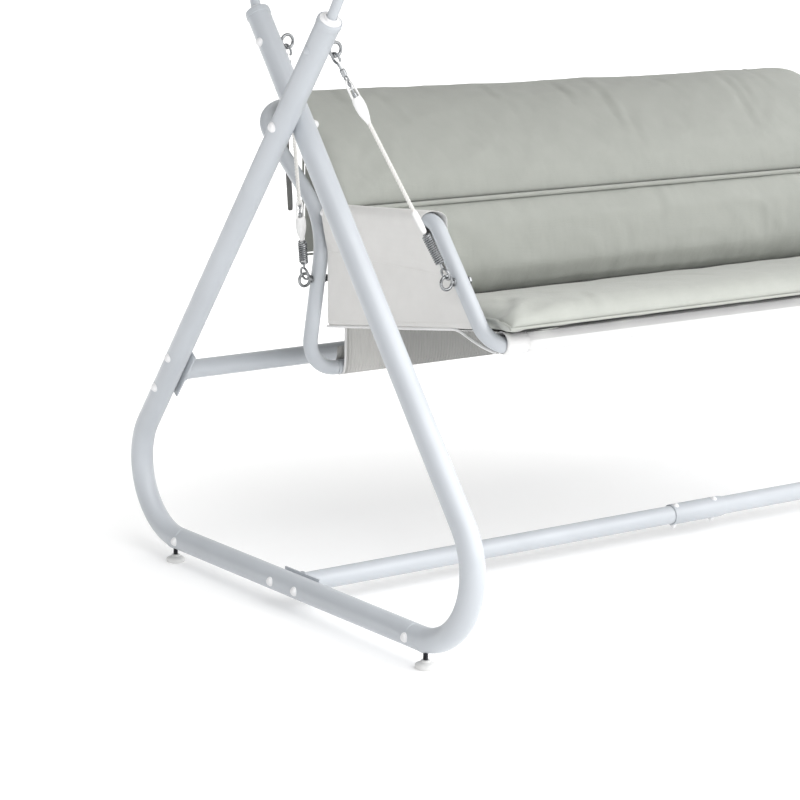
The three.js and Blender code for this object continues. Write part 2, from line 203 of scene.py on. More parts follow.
def plastic(name, colour, roughness=0.42):
    return coated(name, colour, roughness, (40, 3, 0.95, 1.02), (1500, 0.12, 0.0002))


def woven(name, colour, thread, depth, mottle, sheen=0.25, folds=0.0):
    """Cloth: two crossing sets of threads, mottled dye and soft handling folds."""
    material, tree, _ = finish(name, colour, 0.92, sheen=sheen)
    place = new_node(tree, "TexCoord")
    height = None
    for axis in "XYZ":
        wave = new_node(tree, "TexWave", {"Scale": pi / (10 * thread), "Distortion": 0.6,
                                          "Detail Scale": 3}, bands_direction=axis)
        link(tree, place, "Object", wave, "Vector")
        if height is None:
            height, output = wave, "Fac"
        else:
            total = new_node(tree, "Math", operation="ADD")
            link(tree, height, output, total, 0)
            link(tree, wave, "Fac", total, 1)
            height, output = total, "Value"
    first = bump(tree, height, output, 0.35, depth)
    if folds:
        bump(tree, noise_node(tree, 14, 3, (1.0, 1.0, 0.45)), "Fac", folds, 0.012, first)
    ramp(tree, noise_node(tree, 26, 6), "Fac", shade(colour, 1 - mottle), shade(colour, 1 + mottle),
         "Base Color")
    return material


def ribbed(name, colour, less_shaded_edge_colour, pitch):
    """A dense ribbed webbing. Its base colour is painted shade: dark in the middle, with lighter bands along
    its side edges where less shade falls.
    """
    material, tree, _ = finish(name, colour, 0.85, sheen=0.1)
    place = new_node(tree, "TexCoord")
    rib = new_node(tree, "TexWave", {"Scale": pi / (10 * pitch), "Distortion": 0.4}, bands_direction="X")
    link(tree, place, "Object", rib, "Vector")
    bump(tree, rib, "Fac", 0.6, 0.0014)
    split = new_node(tree, "SeparateXYZ")
    link(tree, place, "Object", split, "Vector")
    size = new_node(tree, "Math", operation="ABSOLUTE")
    link(tree, split, "X", size, 0)
    # Painted shade: darker in the middle under the seat, lighter towards the side edges.
    band = new_node(tree, "MapRange", {"From Min": 0.40, "From Max": 0.54})
    link(tree, size, "Value", band, "Value")
    ramp(tree, band, "Result", colour, less_shaded_edge_colour, "Base Color")
    return material


# Powder coat: a fine orange peel, slight drifts of colour and gloss.
PAINT = coated("paint_blue_grey", (0.482, 0.509, 0.541), 0.36, (9, 4, 0.955, 1.03), (900, 0.12, 0.0004),
               (30, 0.31, 0.43), coat=0.25)
CAP = plastic("white_caps", (0.78, 0.78, 0.79), 0.35)
PAD_WHITE = plastic("foot_white", (0.76, 0.76, 0.75), 0.5)
FITTING = plastic("fitting_white", (0.74, 0.74, 0.735), 0.38)
ZINC = metal("zinc_plate", (0.34, 0.35, 0.36), 0.24)
DARK_STEEL = metal("dark_stem", (0.10, 0.10, 0.11), 0.45)
ROPE = woven("rope_white", (0.70, 0.69, 0.665), 0.0016, 0.0005, 0.03)
CLOTH = woven("cloth_off_white", (0.72, 0.712, 0.695), 0.0016, 0.0003, 0.025, folds=0.30)
CLOTH_ROOF = woven("cloth_roof", (0.50, 0.494, 0.48), 0.0016, 0.0003, 0.025, folds=0.30)
CLOTH_TAUT = woven("cloth_taut", (0.73, 0.728, 0.725), 0.0016, 0.0003, 0.02)
# The ribbed back cloth is painted dark grey as the shade below the seat, lighter at its side edges.
CLOTH_RIBBED_PAINTED_SHADE = ribbed("cloth_ribbed", (0.30, 0.30, 0.29), (0.50, 0.495, 0.48), 0.0062)
# A near-black sheet under the seat pad: painted shade that darkens the gap between the pad and the seat
# cloth.
DARK_SHADE_SHEET = woven("cushion_base", (0.055, 0.056, 0.055), 0.0016, 0.0003, 0.05)
CUSHION = woven("cushion_sage", (0.400, 0.413, 0.382), 0.0011, 0.00025, 0.03, sheen=0.2, folds=0.35)
PIPING = woven("piping_sage", (0.37, 0.382, 0.352), 0.0011, 0.00025, 0.03)
STRAP = woven("strap_grey", (0.21, 0.21, 0.205), 0.0015, 0.0003, 0.05)
STITCH = plastic("stitch_thread", (0.80, 0.80, 0.78), 0.7)

make_camera()
make_stage()


# ---------- mesh making
def piece(name, shape, body, look, nodes=(), crease=38, subdivide=0, thickness=0.0):
    """One visual piece from (vertices in mm, faces); it may stand for CAD nodes."""
    vertices, faces = shape
    mesh = bpy.data.meshes.new(name)
    mesh.from_pydata([Vector(v) * MM for v in vertices], [], faces)
    work = bmesh.new()
    work.from_mesh(mesh)
    bmesh.ops.remove_doubles(work, verts=work.verts, dist=1e-6)
    bmesh.ops.dissolve_degenerate(work, edges=work.edges, dist=1e-7)
    bmesh.ops.recalc_face_normals(work, faces=work.faces)
    for face in work.faces:
        face.smooth = True
    for edge in work.edges:
        if len(edge.link_faces) == 2 and edge.calc_face_angle(0) > radians(crease):
            edge.smooth = False
    work.to_mesh(mesh)
    work.free()
    obj = bpy.data.objects.new(name, mesh)
    SCENE.collection.objects.link(obj)
    mesh.materials.append(look)
    if thickness:
        solid = obj.modifiers.new("thickness", "SOLIDIFY")
        solid.thickness = thickness * MM
        solid.offset = 0
    if subdivide:
        smooth = obj.modifiers.new("smooth", "SUBSURF")
        smooth.levels = smooth.render_levels = subdivide
    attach(obj, body)
    if nodes:
        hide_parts(*nodes)
    return obj


def maker(look):
    """A short form of piece() for parts of one look."""
    return lambda name, shape, body, *nodes: piece(name, shape, body, look, nodes)


painted, white_part, plated = maker(PAINT), maker(CAP), maker(ZINC)
trim = maker(CLOTH_TAUT)


def merged(*shapes):
    vertices, faces = [], []
    for more_vertices, more_faces in shapes:
        start = len(vertices)
        vertices += list(more_vertices)
        faces += [tuple(start + i for i in face) for face in more_faces]
    return vertices, faces


def route(corners, radii, turn_step=7):
    """Points along straight runs joined by arcs of the given bend radii."""
    points = [Vector(c) for c in corners]
    out = [points[0]]
    for i in range(1, len(points) - 1):
        before = (points[i] - points[i - 1]).normalized()
        after = (points[i + 1] - points[i]).normalized()
        turn = before.angle(after)
        side = (after - before * after.dot(before)).normalized()
        radius = radii[i - 1]
        start = points[i] - before * radius * tan(turn / 2)
        steps = max(2, ceil(degrees(turn) / turn_step))
        for k in range(steps + 1):
            angle = turn * k / steps
            out.append(start + before * radius * sin(angle) + side * radius * (1 - cos(angle)))
    out.append(points[-1])
    return [p for i, p in enumerate(out) if i == 0 or (p - out[i - 1]).length > 0.01]


def ring_of(centre, radius, u, v, sides):
    return [centre + (u * cos(2 * pi * k / sides) + v * sin(2 * pi * k / sides)) * radius
            for k in range(sides)]


def across(direction):
    """Two unit vectors square to a direction and to each other."""
    helper = Vector((0, 0, 1)) if abs(direction.z) < 0.9 else Vector((0, 1, 0))
    u = direction.cross(helper).normalized()
    return u, direction.cross(u).normalized()


def skin(rings, closed=False, capped=True):
    """Quads between successive closed rings of equal length."""
    sides = len(rings[0])
    vertices = [p for r in rings for p in r]
    faces = []
    for i in range(len(rings) if closed else len(rings) - 1):
        a, b = i * sides, (i + 1) % len(rings) * sides
        for k in range(sides):
            n = (k + 1) % sides
            faces.append((a + k, a + n, b + n, b + k))
    if capped and not closed:
        faces += [tuple(range(sides))[::-1], tuple((len(rings) - 1) * sides + k for k in range(sides))]
    return vertices, faces


def sweep(path, radius, sides=28, closed=False):
    """A round bar along a path; radius is one number or one per point."""
    path = [Vector(p) for p in path]
    radii = radius if isinstance(radius, (list, tuple)) else [radius] * len(path)
    count = len(path)
    rings, u = [], None
    for i in range(count):
        if closed:
            heading = path[(i + 1) % count] - path[i - 1]
        else:
            heading = path[min(i + 1, count - 1)] - path[max(i - 1, 0)]
        heading.normalize()
        if u is None:
            u = across(heading)[0]
        u = (u - heading * u.dot(heading)).normalized()
        rings.append(ring_of(path[i], radii[i], u, heading.cross(u), sides))
    return skin(rings, closed)


def turned(profile, origin, axis, sides=28, core=0.0):
    """A turned solid from (radius beyond the core's, distance along the axis) pairs."""
    origin, axis = Vector(origin), Vector(axis).normalized()
    u, v = across(axis)
    return skin([ring_of(origin + axis * along, max(core + radius, 0.001), u, v, sides)
                 for radius, along in profile])


def turned_ring(profile, origin, axis, core, sides=36):
    """A turned solid round a hole, its profile a closed loop."""
    vertices, faces = turned(profile, origin, axis, sides, core)
    return vertices, faces[:-2]


def hoop(centre, normal, radius, wire, steps=32, sides=12):
    """A wire ring."""
    u, v = across(Vector(normal).normalized())
    return sweep(ring_of(Vector(centre), radius, u, v, steps), wire, sides, closed=True)


def box(centre, u, v, w, size):
    """A box with chamfered edges, from half axes u, v, w and full sizes."""
    centre = Vector(centre)
    half = [s / 2 for s in size]
    chamfer = min(half) * 0.25
    rings = []
    for way, depth, inset in ((-1, 0, chamfer), (-1, chamfer, 0), (1, chamfer, 0), (1, 0, chamfer)):
        a, b = half[0] - inset, half[1] - inset
        c = chamfer * 0.6
        rings.append([centre + u * x + v * y + w * way * (half[2] - depth) for x, y in (
            (a, -b + c), (a, b - c), (a - c, b), (-a + c, b), (-a, b - c), (-a, -b + c), (-a + c, -b),
            (a - c, -b))])
    return skin(rings)


def sheet_of(rows):
    """An open grid of quads from rows of points."""
    width = len(rows[0])
    vertices = [Vector(p) for row in rows for p in row]
    faces = [(i * width + k, i * width + k + 1, (i + 1) * width + k + 1, (i + 1) * width + k)
             for i in range(len(rows) - 1) for k in range(width - 1)]
    return vertices, faces


def smooth_line(points, count):
    """Evenly spaced points on a Catmull-Rom curve through the given ones."""
    p = [Vector(q) for q in points]
    p = [p[0] * 2 - p[1], *p, p[-1] * 2 - p[-2]]
    fine = []
    for i in range(1, len(p) - 2):
        for k in range(12):
            t = k / 12
            fine.append(0.5 * ((2 * p[i]) + (p[i + 1] - p[i - 1]) * t
                               + (2 * p[i - 1] - 5 * p[i] + 4 * p[i + 1] - p[i + 2]) * t * t
                               + (3 * p[i] - p[i - 1] - 3 * p[i + 1] + p[i + 2]) * t ** 3))
    fine.append(p[-2])
    return even(fine, count)


def even(points, count):
    """The same line with count + 1 evenly spaced points."""
    along = [0.0]
    for a, b in zip(points, points[1:]):
        along.append(along[-1] + (b - a).length)
    out, i = [], 0
    for k in range(count + 1):
        want = along[-1] * k / count
        while i < len(along) - 2 and along[i + 1] < want:
            i += 1
        span = along[i + 1] - along[i]
        out.append(points[i].lerp(points[i + 1], (want - along[i]) / span if span else 0))
    return out


def line_length(points):
    return sum((Vector(b) - Vector(a)).length for a, b in zip(points, points[1:]))


# ---------- stand
def dome_cap(place, outward, radius=6.2, height=4.6):
    """A white snap cap over a bolt head, on a thin washer rim."""
    rim = radius + 1.4
    dome = [(radius, 1.0), (radius * 0.94, height * 0.55), (radius * 0.74, height * 0.85),
            (radius * 0.4, height * 0.98), (0, height)]
    return turned([(0, -3), (rim, -3), (rim, 0.2), (rim - 0.5, 0.9), *dome], place, outward, 24)


def bevelled_tube(path, radius, sides=32):
    """A tube with softly rounded end lips."""
    path = [Vector(p) for p in path]
    start_dir = (path[1] - path[0]).normalized()
    end_dir = (path[-1] - path[-2]).normalized()
    lip = 1.0
    points = [path[0], path[0] + start_dir * lip, *path[1:-1], path[-1] - end_dir * lip, path[-1]]
    radii = [radius - lip, *[radius] * (len(points) - 2), radius - lip]
    return sweep(points, radii, sides)


for name, side, end in CORNERS:
    corners = [(side * END_X, end * (BASE_JOINT_Y + 0.4), BASE_Z),
               (side * END_X, leg_y(end, BASE_Z), BASE_Z),
               (leg_x(side, end, LEG_TOP_Z), leg_y(end, LEG_TOP_Z), LEG_TOP_Z)]
    path = route(corners, [LEG_BEND_R], 4)
    painted(f"{name}_tube", bevelled_tube(path, LEG_R, sides=40), "stand", f"{name}_leg")
    # The white plug in the top of the leg, which centres the canopy pole.
    axis = (path[-1] - path[-2]).normalized()
    plug = [(0.6, -16), (9.2, -16), (9.2, 2.2), (8.0, 3.0), (3.4, 4.2), (2.4, 7.4), (0.6, 7.8), (0.6, -16)]
    white_part(f"{name}_plug", turned_ring(plug, path[-1], axis, POLE_R), "stand")
    lip = [(-1.7, -1.5), (0.2, -9), (1, -8.2), (1.1, -1), (0.6, 1.2), (-0.6, 2.2), (-1.7, 1.8), (-1.7, -1.5)]
    painted(f"{name}_lip", turned_ring(lip, path[-1], axis, LEG_R), "stand")
    # A step where the base tube is swaged into the leg.
    swage = turned([(-0.4, -2.2), (0.5, -1.4), (0.6, 0), (0.5, 1.4), (-0.4, 2.2)],
                   (side * END_X, end * (BASE_JOINT_Y + 26), BASE_Z), (0, 1, 0), 36, LEG_R)
    painted(f"{name}_swage", swage, "stand")

for word, side in SIDES:
    base = [(side * END_X, y, BASE_Z) for y in (-BASE_JOINT_Y, -100, 100, BASE_JOINT_Y)]
    painted(f"{word}_base", bevelled_tube(base, LEG_R), "stand", f"{word}_base_tube")
    outward = (side, 0, 0)

    def leg_face(end, z):
        """The outermost point of a leg tube at a height."""
        return leg_x(side, end, z) + side * LEG_R, leg_y(end, z), z

    caps = [dome_cap((side * (END_X + LEG_R), y, BASE_Z), outward)
            for y in (1 - BASE_JOINT_Y, -SPREADER_BOLT_Y, SPREADER_BOLT_Y, 1 + BASE_JOINT_Y)]
    caps += [dome_cap(leg_face(1, REAR_SPREADER_Z + along * sin(LEG_ANGLE)), outward)
             for along in (-37, 37)]
    caps.append(dome_cap(leg_face(-1, HANG_Z), outward))
    painted(f"{word}_low_cap", dome_cap(leg_face(1, HANG_Z), outward, 5.2, 2.2), "stand")
    caps.append(dome_cap((side * (END_X + LEG_PASS + LEG_R), 0, CROSS_Z), outward, 7))
    caps.append(dome_cap((side * (END_X - LEG_PASS - LEG_R), 0, CROSS_Z), (-side, 0, 0), 7, 8.5))
    white_part(f"{word}_bolt_caps", merged(*caps), "stand", f"{word}_crossing_bolt")

X_AXIS, Y_AXIS, Z_AXIS = Vector((1, 0, 0)), Vector((0, 1, 0)), Vector((0, 0, 1))


def plate_with_nuts(side, x, y, z, tilt):
    """A spreader's end plate, curved round the tube it sits on, with two hex nuts."""
    along = Y_AXIS * cos(tilt) + Z_AXIS * sin(tilt)
    up = X_AXIS.cross(along)
    shapes = [box((side * (x - 1.6), y, z), along, up, X_AXIS, (2 * SPREADER_BOLT_Y + 28, 33, 3.2))]
    for way in (-1, 1):
        place = Vector((side * (x - 3.2), y, z)) + along * way * SPREADER_BOLT_Y
        shapes.append(turned([(0, 0), (7.6, 0), (7.6, 0.9), (0, 0.9)], place, (-side, 0, 0), 20))
        nut = [(0, 0.5), (6.2, 0.5), (6.2, 4.6), (5.4, 5.4), (3.1, 5.6), (3.1, 8.4), (0, 8.6)]
        shapes.append(turned(nut, place, (-side, 0, 0), 6))
    # The weld bead between tube and plate.
    shapes.append(hoop((side * (x - 3.6), y, z), (1, 0, 0), SPREADER_R + 0.6, 2.0, 36, 8))
    return merged(*shapes)


plate_x = END_X - LEG_R - 0.4
SOCKET_START, SOCKET_END = -20.0, 100.0
painted("floor_spreader_plain", merged(
    bevelled_tube([(-plate_x + 2, 0, BASE_Z), (-400, 0, BASE_Z), (SOCKET_END - 20, 0, BASE_Z)], SPREADER_R),
    plate_with_nuts(-1, plate_x, 0, BASE_Z, 0)), "stand", "left_floor_spreader")
socket = [(0.4, SOCKET_START + 40), (0.4, SOCKET_START), (1.6, SOCKET_START - 0.2), (2.3, SOCKET_START + 0.9),
          (2.3, SOCKET_END - 6), (1.4, SOCKET_END), (0, SOCKET_END + 7), (0, plate_x - 2),
          (-SPREADER_R, plate_x - 2)]
painted("floor_spreader_socket", merged(turned_ring(socket, (0, 0, BASE_Z), (1, 0, 0), SPREADER_R),
                                        plate_with_nuts(1, plate_x, 0, BASE_Z, 0)),
        "stand", "right_floor_spreader")
shapes = []
for x in (SOCKET_START + 8, SOCKET_END - 22):
    shapes.append(dome_cap((x, -SPREADER_R * 0.35, BASE_Z + SPREADER_R + 1.3), (0, -0.3, 1), 4.6, 3.6))
    shapes.append(turned([(0, 0), (5.4, 0), (5.4, 4.2), (2.6, 4.4), (2.6, 7), (0, 7.2)],
                         (x, 0, BASE_Z - SPREADER_R - 1.6), (0, 0, -1), 6))
white_part("floor_spreader_bolts", merged(*shapes), "stand")
rear_y = leg_y(1, REAR_SPREADER_Z)
rear_x = leg_x(1, 1, REAR_SPREADER_Z) - LEG_R - 2
painted("rear_spreader_tube", merged(
    bevelled_tube([(x, rear_y, REAR_SPREADER_Z) for x in (2 - rear_x, 0, rear_x - 2)], SPREADER_R),
    *(plate_with_nuts(side, rear_x, rear_y, REAR_SPREADER_Z, pi - LEG_ANGLE) for side in (-1, 1))),
    "stand", "rear_spreader")

for name, side, end in CORNERS:
    place = (side * END_X, end * FOOT_Y, 0)
    foot = [(0, 0), (14.2, 0), (15.6, 0.8), (16, 2.4), (16, 5.6), (15.2, 7.0), (12.6, 8.6), (9, 9.6),
            (7.4, 10.2), (7.2, 12.4), (6.4, 13), (0, 13)]
    body = f"{name}_levelling_foot"
    piece(f"{name}_foot_pad", turned(foot, place, (0, 0, 1), 36), body, PAD_WHITE,
          [f"{name}_foot"])
    thread = [(0, 12.6)]
    for k in range(7):
        thread += [(3.3, 12.6 + k * 1.5), (4.0, 13.35 + k * 1.5)]
    thread += [(3.3, 23.4), (0, 23.4)]
    piece(f"{name}_foot_stem", turned(thread, place, (0, 0, 1), 20), body, DARK_STEEL)


# ---------- eye bolts and hangers
def eye_bolt(x, y, z, tube_r, reach, nut=True):
    """Ring, shank, washer and nut, as they sit through a tube."""
    toward = Vector((reach, 0, 0))
    centre = Vector((x, y, z)) + toward * (tube_r + EYE_REACH)
    shapes = [hoop(centre, (0, 1, 0), EYE_R, EYE_WIRE_R, 40, 14)]
    tip = EYE_REACH - EYE_R
    neck = [(0, -6), (3, -6), (3, 0.4), (6.4, 0.4), (6.8, 0.9), (6.8, 1.7), (6.2, 2.1), (3.2, 2.3),
            (3.0, tip - 1.4), (2.6, tip + 0.6), (0, tip + 1.4)]
    shapes.append(turned(neck, Vector((x, y, z)) + toward * tube_r, toward, 20))
    if nut:
        far = Vector((x, y, z)) - toward * tube_r
        shapes.append(turned([(0, 0.3), (7.4, 0.3), (7.4, 1.2), (0, 1.2)], far, -toward, 20))
        shapes.append(turned([(0, 1), (6.6, 1), (6.6, 5), (5.6, 6), (3, 6.2), (0, 6.3)], far, -toward, 6))
    return merged(*shapes)


def helix(start, axis, length, turns, steps, radius, phase=0.0):
    """Points wound round an axis; the radius is a function of the share of the length."""
    u, v = across(axis)
    points = []
    for k in range(steps + 1):
        t = k / steps
        angle = 2 * pi * (turns * t + phase)
        points.append(start + axis * length * t + (u * cos(angle) + v * sin(angle)) * radius(t))
    return points


def coil(start, axis, length, radius, wire, turns):
    """A close-wound spring, its ends drawn in to the axis."""
    def reach(t):
        return radius * min(1.0, 0.25 + min(t, 1 - t) * turns)
    return sweep(helix(start, axis, length, turns, turns * 14, reach), wire, 8)


def open_hook(centre, along, flat, radius, wire):
    """A wire hook: most of a ring in the plane of along and flat, then a shank down the rope."""
    points = []
    for k in range(23):
        angle = radians(-130 + 292 * k / 22)
        points.append(centre - along * cos(angle) * radius + flat * sin(angle) * radius)
    leave, shank = points[-1], centre + along * (radius + 13)
    points += [leave.lerp(shank, 0.35) + along * 1.0, leave.lerp(shank, 0.7) + along * 1.2, shank,
               shank + along * 9]
    return sweep(points, wire, 12)


HANG = {}
for name, side, end in CORNERS:
    x, y = leg_x(side, -end, HANG_Z), leg_y(-end, HANG_Z)
    plated(f"{name}_upper_eye", eye_bolt(x, y, HANG_Z, LEG_R, -side, nut=False), "stand", f"{name}_top_eye")
    eye_y, eye_z = FRONT_EYE if end < 0 else REAR_EYE
    plated(f"{name}_lower_eye", eye_bolt(side * SEAT_X, eye_y, eye_z, SEAT_R, side), "seat",
           f"{name}_seat_eye")
    top = Vector((x - side * (LEG_R + EYE_REACH), y, HANG_Z - EYE_R))
    bottom = Vector((side * (SEAT_X + SEAT_R + EYE_REACH), eye_y, eye_z + EYE_R))
    HANG[name] = (top, (bottom - top).normalized(), (bottom - top).length)


def braided(start, axis, length, radius):
    """A laid rope: three strands wound round each other."""
    turns = length / 17
    return merged(*(sweep(helix(start, axis, length, turns, int(turns * 12), lambda t: radius * 0.48, k / 3),
                          radius * 0.56, 8) for k in range(3)))


for name, (top, down, length) in HANG.items():
    body = f"{name}_hanger"
    flat = (Y_AXIS - down * Y_AXIS.dot(down)).normalized()
    wide = down.cross(flat)
    front = "front" in name
    loop_r = LOOP_R if front else OPEN_LOOP_R
    loop_at = length - (LOOP_SEAT if front else 0)
    spring_length = 52.0 if front else 44.0
    spring_end = loop_at - loop_r - 9
    spring_start = spring_end - spring_length

    def at(distance, aside=0.0):
        """A point down the hanger's axis, or beside it."""
        return top + down * distance - wide * aside

    # Snap hook: hooked wire, its ferrule and a small swivel eye.
    plated(f"{name}_snap_hook", merged(
        open_hook(at(LOOP_SEAT), down, flat, LOOP_R, LOOP_WIRE_R),
        turned([(0, 22), (3.4, 22), (4.4, 23), (4.4, 33), (3.4, 34.2), (0, 34.4)], top, down, 20),
        hoop(at(38), wide, 4.6, 1.5, 24, 10)), body, f"{name}_hook")
    # Moulded fittings: a long drop-shaped rope grip by the hook and a sleeve above the spring.
    long_at, short_at = (40.0, spring_start - 40) if front else (spring_start - 74, 42.0)
    grip = [(0, 29), (7.4, 29), (8.4, 31), (9.6, 38), (9.8, 46), (8.6, 56), (6.2, 65), (4.2, 71), (3.6, 74),
            (0, 74)]
    sleeve = [(0, 0), (3.6, 0), (5.0, 1.2), (5.4, 8), (5.4, 26), (4.6, 34), (3.6, 38), (0, 38)]
    shapes = []
    for profile, start in ((grip, long_at), (sleeve, short_at)):
        vertices, faces = turned(profile, at(start), down, 28)
        # Both are flattened across.
        shapes.append(([p - flat * (p - at(start)).dot(flat) * 0.38 for p in vertices], faces))
    # The open yoke above the grip: two side rails, a head and a rung.
    for way in (-1, 1):
        rail = [at(long_at + along, way * off) for along, off in ((1, 3.2), (6, 5.4), (18, 6.2), (31, 6.6))]
        shapes.append(sweep(smooth_line(rail, 10), 1.7, 10))
    for along, off, wire in ((1, 4.4, 2.0), (15, 6, 1.3)):
        shapes.append(sweep([at(long_at + along, x) for x in (-off, 0, off)], wire, 10))
    rope_start, rope_end = (104.0, short_at + 6) if front else (74.0, long_at + 6)
    piece(f"{name}_fittings", merged(*shapes), body, FITTING)
    piece(f"{name}_cord", braided(at(rope_start), down, rope_end - rope_start, 3.2), body, ROPE,
          [f"{name}_rope"])
    # The steel pin and its ring inside the yoke.
    plated(f"{name}_yoke_pin", merged(
        sweep([at(long_at + 2), at(long_at + 24)], 1.6, 10), hoop(at(long_at + 8), wide, 3.4, 1.1, 20, 8),
        turned([(0, 22), (2.6, 22), (3.0, 24), (3.0, 30), (0, 30)], at(long_at), down, 16)), body)
    # Spring, with a drawn-in end at the sleeve and a wire hook in the seat's eye.
    plated(f"{name}_coil_spring", merged(
        coil(at(spring_start), down, spring_length, 6.2, 1.4, 15 if front else 12),
        sweep([at(spring_end - 3), at(spring_end + 3), at(loop_at - loop_r)], 1.8, 10),
        hoop(at(loop_at), wide, loop_r, LOOP_WIRE_R, 32, 12)), body, f"{name}_spring")

# ---------- seat frame
cross_half, rear_half, top_half = (SEAT_X - r for r in (FRONT_CORNER_R, REAR_CORNER_R, TOP_CORNER_R))
for name, half, (y, z), node in (("seat_front_bar", cross_half, FRONT_TUBE, "front_seat_tube"),
                                 ("seat_rear_bar", rear_half, REAR_TUBE, "rear_seat_tube"),
                                 ("back_top_bar", top_half, BACK_TOP, "back_top_tube")):
    painted(name, bevelled_tube([(x, y, z) for x in (-half + 0.4, 0, half - 0.4)], SEAT_R), "seat", node)
for word, side in SIDES:
    corner, upper = (side * SEAT_X, *FRONT_TUBE), (side * SEAT_X, *ARM_FRONT)
    arm = route([(side * cross_half, *FRONT_TUBE), corner, upper, (side * SEAT_X, *ARM_REAR)],
                [FRONT_CORNER_R, 34], 6)
    painted(f"{word}_arm", bevelled_tube(arm, SEAT_R), "seat", f"{word}_arm_tube")
    # The front cloth's sleeve runs on round the start of the bend.
    bend = [p for p in route([(side * (SLING_HALF - 6), *FRONT_TUBE), corner, upper], [FRONT_CORNER_R], 6)
            if abs(p.x) < 609]
    rings = [[p + Vector((0, 15.3 * cos(a), 3.0 + 17.0 * sin(a)))
              for a in (2 * pi * k / 28 for k in range(28))] for p in bend]
    sleeve = piece(f"{word}_front_sleeve", skin(rings, capped=False), "seat", CLOTH_TAUT,
                   thickness=1.4)
    back = route([(side * rear_half, *REAR_TUBE), (side * SEAT_X, *REAR_TUBE), (side * SEAT_X, *BACK_KNEE),
                  (side * SEAT_X, *BACK_TOP), (side * top_half, *BACK_TOP)],
                 [REAR_CORNER_R, 110, TOP_CORNER_R], 6)
    painted(f"{word}_back_side", bevelled_tube(back, SEAT_R), "seat", f"{word}_back_tube")
    caps = [dome_cap((side * SEAT_X + way * SEAT_R, 176, 604), (way, 0, 0), 5, 3.6) for way in (side, -side)]
    white_part(f"{word}_arm_caps", merged(*caps), "seat")

# ---------- stretched cloth
SLEEVE_R = SEAT_R + 1.6


def around(centre, start, stop, steps):
    """Points on a sleeve's arc in the Y-Z plane, angles in degrees from +Y towards +Z."""
    angles = [radians(start + (stop - start) * k / steps) for k in range(steps + 1)]
    return [(centre[0] + SLEEVE_R * cos(a), centre[1] + SLEEVE_R * sin(a)) for a in angles]


def stretched(name, line, half, node, look, sag):
    """A cloth pulled tight over tubes along a [y, z] line."""
    line = [Vector((0, y, z)) for y, z in line]
    columns, count = 56, max(24, round(line_length(line) / 14))
    path = even(line, count)
    rows = []
    for i, point in enumerate(path):
        t = i / count
        row = []
        for k in range(columns + 1):
            x = -half + 2 * half * k / columns
            pull = sag(t) * cos(pi * x / (2 * half)) ** 0.6 if abs(x) < half else 0
            ripple = 0.7 * noise.noise(Vector((x * 0.011, point.y * 0.02, point.z * 0.02)))
            row.append((x, point.y + ripple * (abs(t - 0.5) < 0.42), point.z - pull))
        rows.append(row)
    obj = piece(name, sheet_of(rows), "seat", look, [node], thickness=1.6)


front_wrap = [(FRONT_TUBE[0] + 15.0 * cos(a), FRONT_TUBE[1] + 3.0 + 16.8 * sin(a))
              for a in (radians(turn) for turn in range(-24, -279, -12))]
seat_line = [(FRONT_TUBE[0] + 36, FRONT_TUBE[1] - 3.0), *front_wrap, (-226, 459.5), (-120, 445), (60, 420),
             (196, 407)]
stretched("seat_cloth", seat_line, SLING_HALF, "seat_sling", CLOTH_TAUT,
          lambda t: 2.5 * sin(pi * max(0.0, (t - 0.25) / 0.75)))
rear_wrap = around(REAR_TUBE, 60, -170, 18)
top_wrap = around(BACK_TOP, 130, -60, 16)
back_line = [(REAR_TUBE[0] + 6, REAR_TUBE[1] + 34), *rear_wrap, (224.5, 345), (224, 406), (190, 560),
             (186, 588), (202, 626), (300, 701.5), *top_wrap]
# The back cloth's dark grey colour is painted shade from the seat above it.
stretched("back_cloth", back_line, SLING_HALF - 8, "back_sling",
          CLOTH_RIBBED_PAINTED_SHADE, lambda t: 0.0)
for word, side in SIDES:
    hem = [(side * (SLING_HALF - 8), y, z) for y, z in [*rear_wrap[-4:], (223.2, 345), (222.8, 406)]]
    trim(f"{word}_back_hem", sweep(smooth_line(hem, 24), 1.9, 8), "seat")


def stitch_line(points, step=5.0, length=3.2, radius=0.45):
    """A row of short raised stitches along a line."""
    total = line_length(points)
    path = even([Vector(p) for p in points], max(2, round(total / step)))
    shapes = []
    for a, b in zip(path, path[1:]):
        run = (b - a).normalized()
        stitch = [(0, 0), (radius, length * 0.2), (radius, length * 0.8), (0, length)]
        shapes.append(turned(stitch, a, run, 5))
    return merged(*shapes)


# Side panels: doubled cloth sleeved over the arm, one layer lower down, cut back along the riser.
PANEL_REAR_Y = 178.0
ARM_Z = ARM_FRONT[1]


def arm_z(y):
    """Centre line of the arm tube, which falls a little towards the back."""
    return ARM_FRONT[1] + (ARM_REAR[1] - ARM_FRONT[1]) * (y - ARM_FRONT[0]) / (ARM_REAR[0] - ARM_FRONT[0])


def riser_y(z):
    """Centre line of the riser tube at a height."""
    share = (z - FRONT_TUBE[1]) / (ARM_FRONT[1] - FRONT_TUBE[1])
    return FRONT_TUBE[0] + share * (ARM_FRONT[0] - FRONT_TUBE[0])


